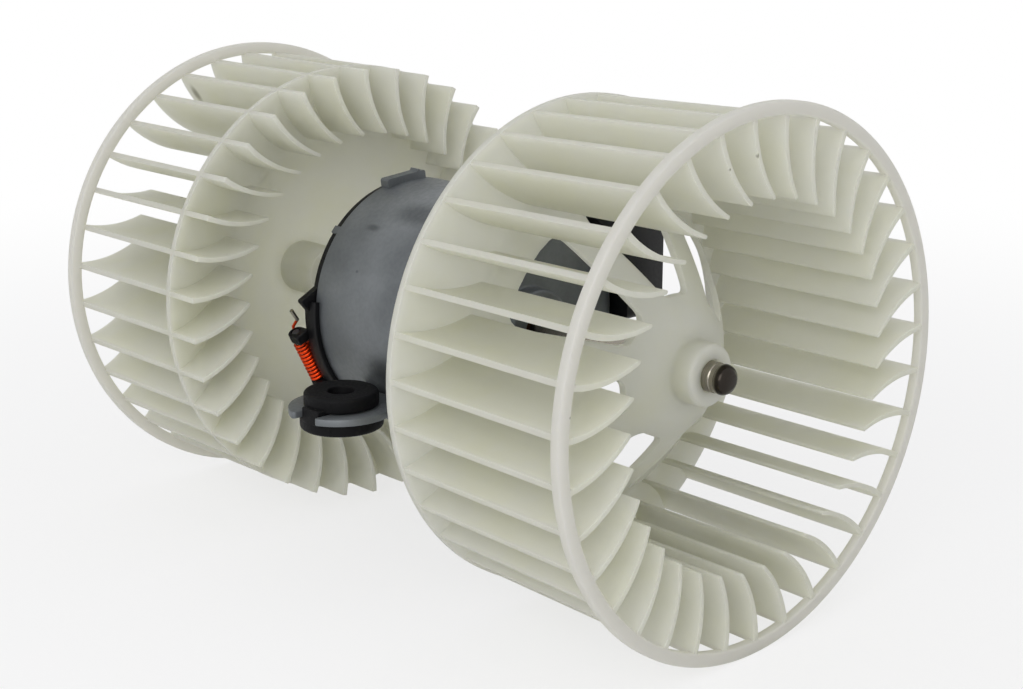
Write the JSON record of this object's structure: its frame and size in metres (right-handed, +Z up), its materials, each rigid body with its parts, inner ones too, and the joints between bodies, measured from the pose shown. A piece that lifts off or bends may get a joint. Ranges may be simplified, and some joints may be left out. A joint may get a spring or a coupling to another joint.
{
  "type": "cabin blower motor",
  "caption": "Double-shaft cabin blower motor with a bladed fan wheel on each end, rubber-mounted on a steel bracket.",
  "frame": {"origin": "on the shaft's axis, midway between the outer faces of the two fan wheels", "axes": "+X along the shaft towards the right fan, whose back plate has no blades behind it; +Z up, square to the level bracket ears"},
  "size_m": [0.231, 0.1498, 0.15],
  "materials": {
    "fan_nylon": "satin, slightly see-through natural nylon",
    "zinc_steel": "dull zinc plate",
    "ground_steel": "ground",
    "spring_steel": "bright",
    "sintered_bronze": "matt, oil soaked",
    "brass": "bright",
    "enamelled_copper": "glossy orange-red enamel",
    "bare_copper": "turned",
    "laminated_iron": "stacked sheets",
    "ferrite": "matt dark grey",
    "carbon": "matt",
    "black_moulding": "moulded, low sheen",
    "black_rubber": "moulded, low sheen",
    "washer_fibre": "matt"
  },
  "bodies": {
    "motor": {"motor_can": "zinc_steel", "end_plate": "zinc_steel", "brush_card": "black_moulding", "bearing_left": "sintered_bronze", "bearing_right": "sintered_bronze", "retainer_left": "spring_steel", "retainer_right": "spring_steel", "magnet_front": "ferrite", "magnet_rear": "ferrite", "magnet_clip_upper": "spring_steel", "magnet_clip_lower": "spring_steel", "brush_tube_upper": "brass", "brush_tube_lower": "brass", "brush_spring_upper": "spring_steel", "brush_spring_lower": "spring_steel", "choke_coil_front": "enamelled_copper", "choke_coil_rear": "enamelled_copper", "choke_core_front": "ferrite", "choke_core_rear": "ferrite", "connector_housing": "black_moulding", "terminal_upper": "brass", "terminal_lower": "brass", "mounting_bracket": "zinc_steel", "grommet_front": "black_rubber", "grommet_rear": "black_rubber"},
    "rotor": {"fan_left": "fan_nylon", "fan_right": "fan_nylon", "shaft": "ground_steel", "armature_core": "laminated_iron", "armature_winding": "enamelled_copper", "commutator": "bare_copper", "thrust_washer_left": "washer_fibre", "thrust_washer_right": "washer_fibre"},
    "upper_brush": {"brush_upper": "carbon"},
    "lower_brush": {"brush_lower": "carbon"}
  },
  "joints": [
    {"name": "rotor_spin", "type": "hinge", "parent": "motor", "child": "rotor", "pos_m": [0, 0, 0], "axis": [1, 0, 0], "continuous": true},
    {"name": "brush_upper_slide", "type": "slide", "parent": "motor", "child": "upper_brush", "axis": [0, 0, 1], "range_m": [0, 0.003], "stiffness_N_per_m": 300, "springref_m": -0.01, "deforming": ["brush_spring_upper"]},
    {"name": "brush_lower_slide", "type": "slide", "parent": "motor", "child": "lower_brush", "axis": [0, 0, -1], "range_m": [0, 0.003], "stiffness_N_per_m": 300, "springref_m": -0.01, "deforming": ["brush_spring_lower"]}
  ]
}
